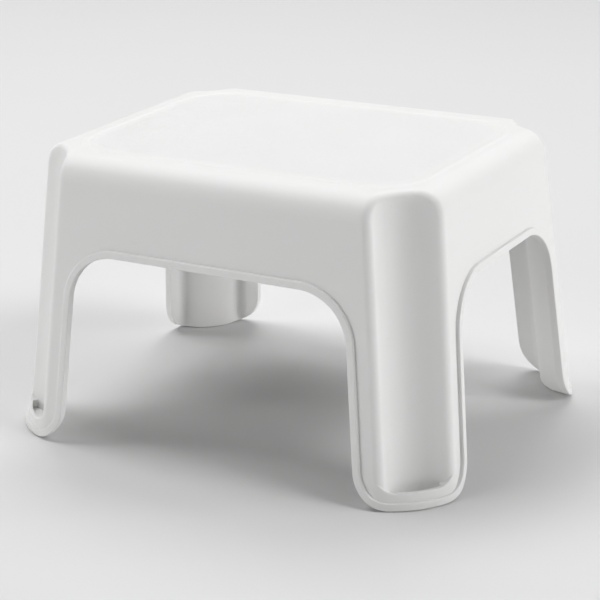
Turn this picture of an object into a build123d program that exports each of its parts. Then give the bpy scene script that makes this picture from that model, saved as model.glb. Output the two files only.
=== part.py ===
"""One-step stool: a thin-walled polypropylene moulding on four splayed legs.

Frame: X along the long side, Y along the short side, Z up, origin on the floor
under the middle of the tread. Millimetres.
"""
from build123d import *
import math
import os

# Driving sizes of the moulding, taken with its feet at Z = 0
TREAD_HEIGHT = 234.0         # plateau of the tread
BASE_LENGTH = 400.0          # across the rims at floor level, along X
BASE_WIDTH = 326.0           # across the rims at floor level, along Y
WALL_SLOPE = 0.09            # inward lean of the four walls, mm per mm of height
WALL = 3.0
TOP_ROUNDING = 20.3          # outside radius between the walls and the tread

# Rim band that follows every lower edge
RIM_PROUD = 3.0              # how far it stands out from the wall
RIM_WIDTH = 6.0
RIM_TOP = 190.0              # any height above the band over the arches
EDGE_ROUNDING = 1.0          # outer edges of the rim and of the corner bands

# Flute down each corner
FLUTE_RADIUS = 43.0
RIDGE_RADIUS = 7.0
RIDGE_INSIDE = 8.0           # rounding behind each ridge, inside the leg

# Legs and arches
LEG_FLANGE = 65.0            # from the corner line to the edge of the leg
ARCH_HEIGHT = 160.0
ARCH_RADIUS = 41.5
FOOT_RADIUS = 29.5           # rounding under the leg flange

# Band that closes the corner of each foot in front of the flute
BAND_HEIGHT = 13.0
BAND_LEVEL = 22.0            # half width where its top edge turns up to the ridges
BAND_CORNER = 14.0           # rounding at that turn
BAND_TOP = 32.0              # any height above the turned-up ends
BAND_DEPTH = 28.9            # from the corner line to the middle of the band
BAND_RADIUS = 75.0           # its bulge in plan
BAND_EDGE = 20.0             # rounding in plan between the band and the walls
RIM_DEPTH = 26.8             # the same three sizes for the rim on the band
RIM_RADIUS = 68.0
RIM_EDGE = 28.0
RIM_SPAN = 150.0             # square round a corner line that holds all of that arc

# Slot between band and flute, divided by a floor, and the plug under that floor
SLOT_LENGTH = 40.0
FLOOR_TOP = 6.5
FLOOR_BOTTOM = 4.5
PLUG_CLEARANCE = 0.1
PLUG_EDGE = 0.4
FOOT_STAND = 0.5             # how far the plugs carry the moulding off the floor

# Raised bead round the tread, and the ribs under it
BEAD_LENGTH = 303.0          # middle of the bead
BEAD_WIDTH = 219.0
BEAD_CORNER = 43.0
BEAD_BREADTH = 6.4
BEAD_RISE = 0.7
BEAD_ROOT = 0.5              # how far its section reaches into the tread
RIB_THICKNESS = 2.2
RIB_DEPTH = 13.0
RIB_PITCH = 54.0
RIBS_ALONG = 3               # ribs that run along X
RIBS_ACROSS = 5              # ribs that run along Y

REACH = 260.0                # longer than any half size
TOUCHING = 0.001             # points closer than this touch
NEARLY = 0.95
BELOW = 20.0                 # start of cuts that run out through the bottom
CORNERS = {
    "front_left": (-1, -1),
    "front_right": (1, -1),
    "back_left": (-1, 1),
    "back_right": (1, 1),
}


def half_length(z, inset=0.0):
    return BASE_LENGTH / 2 - inset - WALL_SLOPE * z


def half_width(z, inset=0.0):
    return BASE_WIDTH / 2 - inset - WALL_SLOPE * z


def prism(plane, points, rounded=()):
    """Closed outline in an upright plane, run both ways through the object.

    rounded lists (corner point, radius) pairs.
    """
    face = make_face(plane * Polyline(*points, close=True))
    for corner, radius in rounded:
        spot = plane.from_local_coords(Vector(*corner))
        face = fillet(face.vertices().sort_by_distance(spot)[0], radius)
    return extrude(face, amount=REACH, both=True)


def wall_prism(plane, half_at, bottom, top, inset, rounding):
    low, high = half_at(bottom, inset), half_at(top, inset)
    points = [(-low, bottom), (low, bottom), (high, top), (-high, top)]
    rounded = [(point, rounding) for point in points[2:]] if rounding else ()
    return prism(plane, points, rounded)


def drafted_block(bottom, top, inset, rounding=0.0):
    """Block between the four leaning walls, with a rounded crown."""
    block = wall_prism(Plane.XZ, half_length, bottom, top, inset, rounding)
    return block & wall_prism(Plane.YZ, half_width, bottom, top, inset, rounding)


def corner_line(sx, sy):
    """Floor point and direction of the line where two rim planes would meet."""
    foot = Vector(sx * BASE_LENGTH / 2, sy * BASE_WIDTH / 2, 0)
    lean = Vector(-sx * WALL_SLOPE, -sy * WALL_SLOPE, 1)
    return foot, lean


def inward(sx, sy):
    """Level direction from a corner towards the inside, square to its band."""
    return Vector(-sx, -sy, 0).normalized()


def leaning_cylinder(sx, sy, radius, depth=0.0):
    """Tall cylinder parallel to the corner line, its axis depth inside the corner."""
    foot, lean = corner_line(sx, sy)
    start = foot + inward(sx, sy) * depth - lean * (2 * BELOW)
    length = (lean * (TREAD_HEIGHT + 4 * BELOW)).length
    return Solid.make_cylinder(radius, length, Plane(origin=start, z_dir=lean))


def runs_along(edge, sx, sy, radius):
    """True where an edge keeps its distance from the corner line."""
    foot, lean = corner_line(sx, sy)
    axis = lean.normalized()
    for t in (0.0, 0.5, 1.0):
        offset = edge.position_at(t) - foot
        if abs((offset - axis * offset.dot(axis)).length - radius) > TOUCHING:
            return False
    return True


def fluted_block(bottom, top, inset, rounding, flute_radius, ridge_radius):
    """Drafted block with a concave flute down each corner and rounded ridges."""
    block = drafted_block(bottom, top, inset, rounding)
    for sx, sy in CORNERS.values():
        block -= leaning_cylinder(sx, sy, flute_radius)
        ridges = [
            edge
            for edge in block.edges()
            if runs_along(edge, sx, sy, flute_radius) and edge.center().Z > bottom + TOUCHING
        ]
        block = fillet(ridges, ridge_radius)
    return block


def lies_on(faces, edge):
    """True where the middle of an edge touches one of the faces."""
    return any(face.distance_to(edge.position_at(0.5)) < TOUCHING for face in faces)


def round_outline(solid, block, *cutters):
    """Round the edges that cutters left in the leaning outer faces of a block."""
    skin = [face for face in block.faces() if TOUCHING < abs(face.normal_at().Z) < 0.5]
    cuts = [face for cutter in cutters for face in cutter.faces()]
    outline = [edge for edge in solid.edges() if lies_on(skin, edge) and lies_on(cuts, edge)]
    return fillet(outline, EDGE_ROUNDING)


def corner_edges(block, sx, sy, bottom, top):
    """Upright edges of a block near one corner."""
    foot, lean = corner_line(sx, sy)
    middle = foot + lean * ((bottom + top) / 2)
    return [
        edge
        for edge in block.edges()
        if edge.bounding_box().size.Z > NEARLY * (top - bottom)
        and (edge.center() - middle).length < NEARLY * LEG_FLANGE
    ]


def band_block(sx, sy, bottom, top, inset, depth, radius, edge_radius):
    """Corner of a foot: the two walls and a bulging face across them."""
    foot, _ = corner_line(sx, sy)
    span = 2 * LEG_FLANGE
    block = drafted_block(bottom, top, inset)
    block &= Pos(foot.X, foot.Y, (bottom + top) / 2) * Box(span, span, top - bottom)
    block &= leaning_cylinder(sx, sy, radius, depth + radius)
    return fillet(corner_edges(block, sx, sy, bottom, top), edge_radius)


def across_band(sx, sy):
    """Upright plane across one corner: x level along the band, y up."""
    foot, _ = corner_line(sx, sy)
    facing = inward(sx, sy)
    return Plane(origin=foot, x_dir=Vector(0, 0, 1).cross(facing), z_dir=facing)


def make_band(sx, sy):
    """Solid corner up to the band's top edge, which sweeps up to both ridges."""
    block = band_block(sx, sy, 0, BAND_TOP, RIM_PROUD, BAND_DEPTH, BAND_RADIUS, BAND_EDGE)
    low = [(-BAND_LEVEL, BAND_HEIGHT), (BAND_LEVEL, BAND_HEIGHT)]
    rise = BAND_TOP - BAND_HEIGHT + BELOW
    high = [(BAND_LEVEL + rise, BAND_HEIGHT + rise), (-BAND_LEVEL - rise, BAND_HEIGHT + rise)]
    cutter = prism(across_band(sx, sy), low + high, [(p, BAND_CORNER) for p in low])
    return round_outline(block - cutter, block, cutter)


def slot_block(sx, sy, bottom, top, gap=0.0):
    """Crescent between the band and the flute; gap shrinks it all round."""
    inset = RIM_PROUD + WALL + gap
    shrink = WALL + gap
    depth, radius, edge_radius = BAND_DEPTH + shrink, BAND_RADIUS - shrink, BAND_EDGE - shrink
    block = band_block(sx, sy, bottom, top, inset, depth, radius, edge_radius)
    block &= leaning_cylinder(sx, sy, FLUTE_RADIUS - gap)
    half = SLOT_LENGTH / 2 - gap
    ends = [(-half, bottom), (half, bottom), (half, top), (-half, top)]
    return block & prism(across_band(sx, sy), ends)


def above_arch(plane, half_at, grow):
    """Everything above the edge of one arch and of the two feet beside it.

    grow lifts that edge evenly: 0 is the edge of the moulding.
    """
    def edge(z):
        return half_at(z) - LEG_FLANGE + grow

    crown = ARCH_HEIGHT + grow
    arch = [(-edge(crown), crown), (edge(crown), crown)]
    feet = [(edge(grow), grow), (-edge(grow), grow)]
    ends = [(REACH, grow), (REACH, REACH), (-REACH, REACH), (-REACH, grow)]
    points = arch + feet[:1] + ends + feet[1:]
    rounded = [(p, ARCH_RADIUS + grow) for p in arch]
    rounded += [(p, FOOT_RADIUS - grow) for p in feet]
    return prism(plane, points, rounded)


def above_arches(grow=0.0):
    lengthwise = above_arch(Plane.XZ, half_length, grow)
    return lengthwise & above_arch(Plane.YZ, half_width, grow)


def make_outside():
    """Outer form: walls, flutes and the closed corners of the feet."""
    outside = fluted_block(0, TREAD_HEIGHT, RIM_PROUD, TOP_ROUNDING, FLUTE_RADIUS, RIDGE_RADIUS)
    for sx, sy in CORNERS.values():
        outside += make_band(sx, sy)
    return outside


def make_rim():
    """Band that stands proud along the arches, the leg edges and the feet."""
    block = drafted_block(0, RIM_TOP, 0.0)
    for sx, sy in CORNERS.values():
        face = leaning_cylinder(sx, sy, RIM_RADIUS, RIM_DEPTH + RIM_RADIUS)
        foot, _ = corner_line(sx, sy)
        block -= Pos(foot.X, foot.Y, 0) * Box(RIM_SPAN, RIM_SPAN, REACH * 2) - face
        block = fillet(corner_edges(block, sx, sy, 0, RIM_TOP), RIM_EDGE)
    edge, inner = above_arches(), above_arches(RIM_WIDTH)
    return round_outline((block & edge) - inner, block, edge, inner)


def make_cavity():
    """Space inside the walls, the flutes and the tread."""
    inset = RIM_PROUD + WALL
    top = TREAD_HEIGHT - WALL
    return fluted_block(-BELOW, top, inset, TOP_ROUNDING - WALL, FLUTE_RADIUS + WALL, RIDGE_INSIDE)


def make_ribs():
    """Crossed ribs as deep as needed, still running up and out past the cavity."""
    under = TREAD_HEIGHT - WALL
    ribs = []
    for i in range(RIBS_ALONG):
        y = (i - (RIBS_ALONG - 1) / 2) * RIB_PITCH
        ribs.append(Pos(0, y, under) * Box(2 * REACH, RIB_THICKNESS, 2 * RIB_DEPTH))
    for i in range(RIBS_ACROSS):
        x = (i - (RIBS_ACROSS - 1) / 2) * RIB_PITCH
        ribs.append(Pos(x, 0, under) * Box(RIB_THICKNESS, 2 * REACH, 2 * RIB_DEPTH))
    lattice = ribs[0]
    for rib in ribs[1:]:
        lattice += rib
    return lattice


def make_bead():
    """Low rounded bead that frames the tread."""
    path = Plane.XY.offset(TREAD_HEIGHT) * RectangleRounded(BEAD_LENGTH, BEAD_WIDTH, BEAD_CORNER)
    half = BEAD_BREADTH / 2
    section = Plane(origin=(0, -BEAD_WIDTH / 2, TREAD_HEIGHT), x_dir=(0, 1, 0), z_dir=(1, 0, 0))
    arc = section * ThreePointArc((-half, 0), (0, BEAD_RISE), (half, 0))
    root = section * Polyline((half, 0), (half, -BEAD_ROOT), (-half, -BEAD_ROOT), (-half, 0))
    return sweep(make_face([arc, root]), path=path.wire())


def make_body():
    body = make_outside() + make_rim()
    cavity = make_cavity()
    body -= cavity
    body &= above_arches()
    for sx, sy in CORNERS.values():
        body -= slot_block(sx, sy, FLOOR_TOP, BAND_TOP)
        body -= slot_block(sx, sy, -BELOW, FLOOR_BOTTOM)
    body += make_ribs() & cavity
    body += make_bead()
    return body


def make_plug(sx, sy):
    """Soft plug that fills the lower slot and stands just below the foot."""
    plug = slot_block(sx, sy, -FOOT_STAND, FLOOR_BOTTOM, PLUG_CLEARANCE)
    return fillet(plug.faces().sort_by(Axis.Z)[0].edges(), PLUG_EDGE)


def main():
    os.makedirs("parts", exist_ok=True)
    lift = Pos(0, 0, FOOT_STAND)
    export_step(lift * make_body(), "parts/stool_body.step")
    for name, (sx, sy) in CORNERS.items():
        export_step(lift * make_plug(sx, sy), f"parts/foot_pad_{name}.step")


main()
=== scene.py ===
import math

import bmesh
import bpy
from mathutils import Matrix, Vector, noise


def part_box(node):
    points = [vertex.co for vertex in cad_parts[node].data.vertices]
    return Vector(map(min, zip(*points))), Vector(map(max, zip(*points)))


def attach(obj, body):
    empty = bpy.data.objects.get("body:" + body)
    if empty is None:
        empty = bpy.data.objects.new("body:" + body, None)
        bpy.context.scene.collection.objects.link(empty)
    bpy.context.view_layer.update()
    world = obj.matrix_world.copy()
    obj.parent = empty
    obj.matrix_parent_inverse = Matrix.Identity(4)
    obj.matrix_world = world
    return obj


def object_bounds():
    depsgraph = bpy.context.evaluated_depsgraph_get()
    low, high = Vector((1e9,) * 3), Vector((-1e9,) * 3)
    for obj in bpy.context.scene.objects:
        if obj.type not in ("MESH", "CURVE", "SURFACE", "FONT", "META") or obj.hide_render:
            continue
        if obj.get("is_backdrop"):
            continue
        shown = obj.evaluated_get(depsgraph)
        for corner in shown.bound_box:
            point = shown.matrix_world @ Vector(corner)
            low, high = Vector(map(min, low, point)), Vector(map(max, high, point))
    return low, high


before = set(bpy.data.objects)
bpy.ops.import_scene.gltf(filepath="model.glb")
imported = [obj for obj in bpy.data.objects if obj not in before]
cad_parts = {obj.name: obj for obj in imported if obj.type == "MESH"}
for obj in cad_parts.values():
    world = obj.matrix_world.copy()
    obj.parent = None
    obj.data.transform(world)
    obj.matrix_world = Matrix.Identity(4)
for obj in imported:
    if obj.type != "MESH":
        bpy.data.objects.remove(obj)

# A one-step stool of white polypropylene on rubber foot pads, in a pale studio.
# Metres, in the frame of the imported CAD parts, which are shown as they are.
# The tread's moulded grain is added as a thin piece of its own.

BODY = "stool_body"

# Tread and the bead round it
BEAD_RISE = 0.0007
BEAD_LENGTH = 0.303
BEAD_WIDTH = 0.219
BEAD_CORNER = 0.043
BEAD_BREADTH = 0.0064

# Moulded grain inside the bead
GRAIN_STEP = 0.0011
GRAIN_SIZE = 0.0034          # from one pip to the next
GRAIN_HEIGHT = 0.0003
GRAIN_MARGIN = 0.004         # plain strip between bead and grain
GRAIN_FADE = 0.006
GRAIN_ROOT = 0.0004          # how far the piece reaches into the tread

# Mould grain in the plastic's skin: noise scale and depth
SKIN_GRAIN = (1400.0, 0.00006)
TREAD_SKIN_GRAIN = (2200.0, 0.00008)

# Camera
CAMERA_PLACE = (0.7617, -1.3445, 0.6326)
CAMERA_YAW = math.radians(29.44)
CAMERA_PITCH = math.radians(-19.24)
CAMERA_ROLL = math.radians(-1.11)
SENSOR_WIDTH = 36.0
LENS = 117.9
SHIFT_X = -0.0044
VIEW_END = 60.0

# Lights: name, azimuth and elevation in degrees, size, power in watts
LIGHT_DISTANCE = 4.2
LIGHT_TARGET = (0.0, 0.0, 0.12)
WORLD_STRENGTH = 0.03
FLOOR_SIZE = 30.0
LIGHTS = [
    ("left_back_high", -150.0, 60.0, 2.0, 55.0),
    ("left_back_low", -120.0, 5.0, 2.0, 20.0),
    ("left_high", -85.0, 60.0, 2.0, 75.0),
    ("front_low", -30.0, 8.0, 2.0, 62.0),
    ("right_high", 90.0, 50.0, 1.2, 50.0),
    ("right_low", 110.0, 7.0, 1.6, 85.0),
    ("back_high", 180.0, 60.0, 2.0, 30.0),
]


def measure():
    bpy.context.view_layer.update()
    low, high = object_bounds()
    return [list(low), list(high)]


# Materials

class Shader:
    """Node tree with one Principled shader and short ways to add nodes."""

    def __init__(self, name):
        self.material = bpy.data.materials.new(name)
        self.material.use_nodes = True
        self.nodes = self.material.node_tree.nodes
        self.links = self.material.node_tree.links
        self.surface = self.nodes["Principled BSDF"]
        self.place = self.nodes.new("ShaderNodeTexCoord").outputs["Object"]

    def fill(self, socket, value):
        """Link a socket to another one, or give it a plain value."""
        if isinstance(value, bpy.types.NodeSocket):
            self.links.new(value, socket)
        else:
            socket.default_value = value

    def add(self, kind, inputs, **settings):
        node = self.nodes.new("ShaderNode" + kind)
        for key, value in settings.items():
            setattr(node, key, value)
        for key, value in inputs.items():
            self.fill(node.inputs[key], value)
        return node

    def noise(self, scale, detail=3.0, place=None):
        node = self.add("TexNoise", {"Vector": place or self.place, "Scale": scale, "Detail": detail})
        return node.outputs["Fac"]

    def stretched(self, scale, turn=0.0):
        node = self.add("Mapping", {"Vector": self.place, "Scale": scale, "Rotation": (0.0, 0.0, turn)})
        return node.outputs["Vector"]

    def remap(self, value, low, high, to_low, to_high):
        inputs = {"Value": value, "From Min": low, "From Max": high, "To Min": to_low, "To Max": to_high}
        return self.add("MapRange", inputs).outputs["Result"]

    def maths(self, operation, first, second):
        return self.add("Math", {0: first, 1: second}, operation=operation).outputs["Value"]

    def mix(self, factor, first, second):
        node = self.nodes.new("ShaderNodeMix")
        node.data_type = "RGBA"
        for index, value in ((0, factor), (6, first), (7, second)):
            self.fill(node.inputs[index], value)
        return node.outputs[2]

    def bump(self, height, distance, strength=1.0, under=None):
        inputs = {"Height": height, "Distance": distance, "Strength": strength}
        if under is not None:
            inputs["Normal"] = under
        return self.add("Bump", inputs).outputs["Normal"]

    def set(self, **values):
        for key, value in values.items():
            self.fill(self.surface.inputs[key.replace("_", " ")], value)


def scuffs(shader, turn, scale):
    """Thin, short scratches that run roughly one way: 1 on a scratch, 0 beside it."""
    lines = shader.noise(1.0, 2.0, shader.stretched(scale, turn))
    patches = shader.noise(14.0, 2.0)
    thin = shader.remap(lines, 0.70, 0.74, 0.0, 1.0)
    return shader.maths("MULTIPLY", thin, shader.remap(patches, 0.52, 0.62, 0.0, 1.0))


def polypropylene(name, grain_scale, grain_depth):
    """White moulded plastic: satin, faintly cloudy, with fine mould grain and light wear."""
    shader = Shader(name)
    clouds = shader.noise(9.0, 4.0)
    specks = shader.noise(420.0, 2.0)
    tone = shader.mix(clouds, (0.82, 0.82, 0.81, 1.0), (0.84, 0.84, 0.835, 1.0))
    tone = shader.mix(shader.remap(specks, 0.68, 0.76, 0.0, 0.25), tone, (0.72, 0.72, 0.70, 1.0))
    # Darker towards the bottom: the lowest 2 to 22 mm of the plastic shifts, with noise, towards a darker
    # brown-grey
    height = shader.add("SeparateXYZ", {"Vector": shader.place}).outputs["Z"]
    darker_towards_floor = shader.maths("MULTIPLY", shader.remap(height, 0.002, 0.022, 0.16, 0.0), shader.noise(60.0, 5.0))
    tone = shader.mix(darker_towards_floor, tone, (0.52, 0.50, 0.47, 1.0))
    marks = shader.maths("MAXIMUM", scuffs(shader, 0.5, (30, 900, 30)), scuffs(shader, -0.9, (900, 30, 40)))
    tone = shader.mix(shader.maths("MULTIPLY", marks, 0.12), tone, (0.62, 0.62, 0.61, 1.0))
    rough = shader.remap(shader.noise(35.0, 5.0), 0.3, 0.7, 0.52, 0.60)
    rough = shader.maths("ADD", rough, shader.maths("MULTIPLY", marks, 0.15))
    waves = shader.bump(shader.noise(11.0, 1.0), 0.0006, 0.5)
    grain = shader.bump(shader.noise(grain_scale, 3.0), grain_depth, 0.6, waves)
    shader.set(Base_Color=tone, Roughness=rough, Normal=grain, IOR=1.49, Specular_IOR_Level=0.35)
    shader.set(Subsurface_Weight=0.12, Subsurface_Scale=0.004, Subsurface_Radius=(1.0, 0.9, 0.8))
    return shader.material


def rubber(name):
    """Grey moulded rubber with a dull, slightly pitted skin."""
    shader = Shader(name)
    tone = shader.mix(shader.noise(180.0, 4.0), (0.30, 0.30, 0.305, 1.0), (0.38, 0.38, 0.375, 1.0))
    pits = shader.remap(shader.noise(900.0, 2.0), 0.62, 0.7, 0.0, 0.4)
    tone = shader.mix(pits, tone, (0.22, 0.22, 0.22, 1.0))
    rough = shader.remap(shader.noise(300.0, 3.0), 0.3, 0.7, 0.7, 0.9)
    shader.set(Base_Color=tone, Roughness=rough, IOR=1.52)
    shader.set(Normal=shader.bump(shader.noise(1500.0, 3.0), 0.0002, 0.6))
    return shader.material


def paper(name):
    shader = Shader(name)
    tone = shader.mix(shader.noise(3.0, 3.0), (0.71, 0.71, 0.71, 1.0), (0.73, 0.73, 0.73, 1.0))
    shader.set(Base_Color=tone, Roughness=0.9)
    return shader.material


def dress(thing, material):
    thing.data.materials.clear()
    thing.data.materials.append(material)


# Tread grain

def inside_tread(x, y):
    """Distance from a point on the tread to the inner edge of the bead, positive inside."""
    corner = BEAD_CORNER - BEAD_BREADTH / 2
    reach_x = BEAD_LENGTH / 2 - BEAD_CORNER
    reach_y = BEAD_WIDTH / 2 - BEAD_CORNER
    over_x, over_y = abs(x) - reach_x, abs(y) - reach_y
    outside = math.hypot(max(over_x, 0.0), max(over_y, 0.0))
    return corner - outside - min(max(over_x, over_y), 0.0)


def grain_height(x, y):
    """Irregular rounded pips, from 0 between them to 1 on top."""
    distances, _ = noise.voronoi(Vector((x, y, 0.0)) / GRAIN_SIZE)
    pip = min(1.0, (distances[1] - distances[0]) * 1.6)
    return pip * pip * (3.0 - 2.0 * pip)


def make_grain(tread):
    """Closed thin slab whose top carries the pips and sinks under the tread at its border."""
    mesh = bmesh.new()
    columns = int(BEAD_LENGTH / GRAIN_STEP)
    rows = int(BEAD_WIDTH / GRAIN_STEP)
    bmesh.ops.create_grid(mesh, x_segments=columns, y_segments=rows, size=0.5)
    for vertex in mesh.verts:
        vertex.co.x *= BEAD_LENGTH
        vertex.co.y *= BEAD_WIDTH
        vertex.co.z = tread - GRAIN_ROOT
    outside = [v for v in mesh.verts if inside_tread(v.co.x, v.co.y) < GRAIN_MARGIN]
    bmesh.ops.delete(mesh, geom=outside, context="VERTS")
    raised = bmesh.ops.extrude_face_region(mesh, geom=mesh.faces[:], use_keep_orig=True)
    for vertex in raised["geom"]:
        if isinstance(vertex, bmesh.types.BMVert):
            x, y, _ = vertex.co
            fade = min(1.0, (inside_tread(x, y) - GRAIN_MARGIN) / GRAIN_FADE)
            vertex.co.z = tread + GRAIN_HEIGHT * (fade * (0.3 + grain_height(x, y)) - (1.0 - fade) * 0.5)
    bmesh.ops.recalc_face_normals(mesh, faces=mesh.faces[:])
    data = bpy.data.meshes.new("tread_grain")
    mesh.to_mesh(data)
    mesh.free()
    data.polygons.foreach_set("use_smooth", [True] * len(data.polygons))
    grain = bpy.data.objects.new("tread_grain", data)
    bpy.context.scene.collection.objects.link(grain)
    return grain


# Studio

def make_floor():
    bpy.ops.mesh.primitive_plane_add(size=FLOOR_SIZE, location=(0.0, 0.0, 0.0))
    floor = bpy.context.object
    floor.name = "studio_floor"
    dress(floor, paper("studio_paper"))
    floor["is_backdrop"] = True


def make_light(name, azimuth, elevation, size, power):
    """Soft square light that looks at the stool. Azimuth 0 is from -Y and 90 from +X."""
    data = bpy.data.lights.new(name, "AREA")
    data.shape = "SQUARE"
    data.size = size
    data.energy = power
    light = bpy.data.objects.new(name, data)
    bpy.context.scene.collection.objects.link(light)
    turn, lift = math.radians(azimuth), math.radians(elevation)
    level = math.cos(lift)
    away = Vector((math.sin(turn) * level, -math.cos(turn) * level, math.sin(lift)))
    light.location = Vector(LIGHT_TARGET) + away * LIGHT_DISTANCE
    light.rotation_mode = "QUATERNION"
    light.rotation_quaternion = away.to_track_quat("Z", "Y")


def make_world(strength):
    world = bpy.data.worlds.new("studio")
    world.use_nodes = True
    background = world.node_tree.nodes["Background"]
    background.inputs["Color"].default_value = (1.0, 1.0, 1.0, 1.0)
    background.inputs["Strength"].default_value = strength
    bpy.context.scene.world = world


def make_camera():
    level = math.cos(CAMERA_PITCH)
    ahead = Vector((-math.sin(CAMERA_YAW) * level, math.cos(CAMERA_YAW) * level, math.sin(CAMERA_PITCH)))
    right = Vector((math.cos(CAMERA_YAW), math.sin(CAMERA_YAW), 0.0))
    upright = Matrix((right, right.cross(ahead), -ahead)).transposed()
    data = bpy.data.cameras.new("camera")
    data.sensor_width = SENSOR_WIDTH
    data.lens = LENS
    data.shift_x = SHIFT_X
    data.clip_end = VIEW_END
    camera = bpy.data.objects.new("camera", data)
    bpy.context.scene.collection.objects.link(camera)
    turned = upright.to_4x4() @ Matrix.Rotation(CAMERA_ROLL, 4, "Z")
    camera.matrix_world = Matrix.Translation(CAMERA_PLACE) @ turned
    bpy.context.scene.camera = camera


cad_box = measure()
body_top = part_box(BODY)[1].z
tread_level = body_top - BEAD_RISE

plastic = polypropylene("white_polypropylene", *SKIN_GRAIN)
pad_material = rubber("grey_rubber")
for node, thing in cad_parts.items():
    dress(thing, plastic if node == BODY else pad_material)

grain = make_grain(tread_level)
dress(grain, polypropylene("white_polypropylene_grained", *TREAD_SKIN_GRAIN))
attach(grain, "root")

make_floor()
make_world(WORLD_STRENGTH)
for name, azimuth, elevation, size, power in LIGHTS:
    make_light(name, azimuth, elevation, size, power)
make_camera()
bpy.context.scene.view_settings.view_transform = "Standard"

{"cad": cad_box, "visual": measure()}
